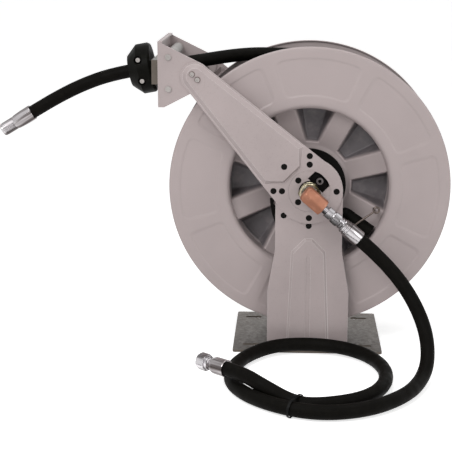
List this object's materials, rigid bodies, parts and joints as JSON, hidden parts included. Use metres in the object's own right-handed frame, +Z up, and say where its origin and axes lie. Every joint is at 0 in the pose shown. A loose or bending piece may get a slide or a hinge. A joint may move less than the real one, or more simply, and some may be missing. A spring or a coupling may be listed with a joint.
{
  "type": "hose reel",
  "caption": "Spring-rewind hose reel on two pedestals, with twin guide arms, a roller outlet and a looped inlet hose.",
  "frame": {"origin": "centre of the base plate's underside, on the floor", "axes": "+Z up, +Y from the swivel side towards the spring side, -X the way the hose leaves"},
  "size_m": [0.9833, 0.7407, 0.6657],
  "materials": {
    "painted_steel": "satin",
    "zinc_steel": "satin",
    "black_steel": "satin",
    "bright_steel": "polished",
    "yellow_zinc": "polished",
    "brass": "satin",
    "black_rubber": "matt",
    "spring_steel": "satin",
    "grey_nylon": "satin",
    "black_nylon": "satin"
  },
  "bodies": {
    "stand": {"base_plate": "zinc_steel", "bearing_retainer": "painted_steel", "bracket_bolts": "bright_steel", "cable_tie": "black_nylon", "foot_bolts": "bright_steel", "front_arm_bolts": "black_steel", "front_bearing": "black_steel", "front_guide_arm": "painted_steel", "front_hose_stop": "black_rubber", "front_post": "painted_steel", "front_upright_pin": "bright_steel", "hose_run": "black_rubber", "hose_stop_bolts": "bright_steel", "hose_takeoff": "black_rubber", "inlet_adapter": "bright_steel", "inlet_end_ferrule": "bright_steel", "inlet_ferrule": "bright_steel", "inlet_hose": "black_rubber", "inlet_union_nut": "bright_steel", "lower_roller_pin": "bright_steel", "mainspring": "spring_steel", "outlet_bracket": "painted_steel", "outlet_fitting": "bright_steel", "outlet_hose": "black_rubber", "ratchet_wheel": "black_steel", "rear_arm_bolts": "black_steel", "rear_bearing": "black_steel", "rear_guide_arm": "painted_steel", "rear_hose_stop": "black_rubber", "rear_post": "painted_steel", "rear_retainer": "painted_steel", "rear_upright_pin": "bright_steel", "retainer_screws": "black_steel", "roller_frame": "zinc_steel", "spring_case": "painted_steel", "spring_cover": "painted_steel", "swivel_body": "brass", "upper_roller_pin": "bright_steel", "window_pin": "bright_steel"},
    "drum": {"front_drum_disc": "painted_steel", "rear_drum_disc": "painted_steel", "drum_barrel": "painted_steel", "drum_shaft": "bright_steel", "drum_hub": "zinc_steel", "rear_spacer": "zinc_steel", "shaft_nut": "yellow_zinc", "hub_screws": "bright_steel", "drum_elbow": "black_steel", "drum_inlet_hose": "black_rubber", "hose_clamp": "bright_steel", "wound_hose": "black_rubber", "wound_hose_core": "black_rubber", "spring_arbor": "bright_steel", "pawl_stud": "black_steel"},
    "latch_pawl": {"latch_pawl": "black_steel"},
    "upper_roller": {"upper_roller": "grey_nylon"},
    "lower_roller": {"lower_roller": "grey_nylon"},
    "front_upright_roller": {"front_upright_roller": "grey_nylon"},
    "rear_upright_roller": {"rear_upright_roller": "grey_nylon"},
    "inlet_end_nut": {"inlet_end_nut": "bright_steel"}
  },
  "joints": [
    {"name": "drum_spin", "type": "hinge", "parent": "stand", "child": "drum", "pos_m": [0, 0, 0.352], "axis": [0, -1, 0], "range_deg": [0, 5040], "stiffness_Nm_per_rad": 0.1, "springref_deg": -3437.75, "deforming": ["hose_takeoff", "mainspring"]},
    {"name": "pawl_swing", "type": "hinge", "parent": "drum", "child": "latch_pawl", "pos_m": [-0.05228, -0.051, 0.24621], "axis": [0, -1, 0], "range_deg": [0, 14], "stiffness_Nm_per_rad": 0.02, "springref_deg": -17.19},
    {"name": "upper_roller_spin", "type": "hinge", "parent": "stand", "child": "upper_roller", "pos_m": [-0.29642, 0, 0.63192], "axis": [0, 1, 0], "continuous": true},
    {"name": "lower_roller_spin", "type": "hinge", "parent": "stand", "child": "lower_roller", "pos_m": [-0.29642, 0, 0.56592], "axis": [0, 1, 0], "continuous": true},
    {"name": "front_upright_roller_spin", "type": "hinge", "parent": "stand", "child": "front_upright_roller", "pos_m": [-0.32442, -0.022, 0.59892], "axis": [0, 0, 1], "continuous": true},
    {"name": "rear_upright_roller_spin", "type": "hinge", "parent": "stand", "child": "rear_upright_roller", "pos_m": [-0.32442, 0.022, 0.59892], "axis": [0, 0, 1], "continuous": true},
    {"name": "inlet_nut_spin", "type": "hinge", "parent": "stand", "child": "inlet_end_nut", "pos_m": [-0.20471, -0.35328, 0.0495], "axis": [-0.7643, 0.6449, 0], "continuous": true}
  ]
}
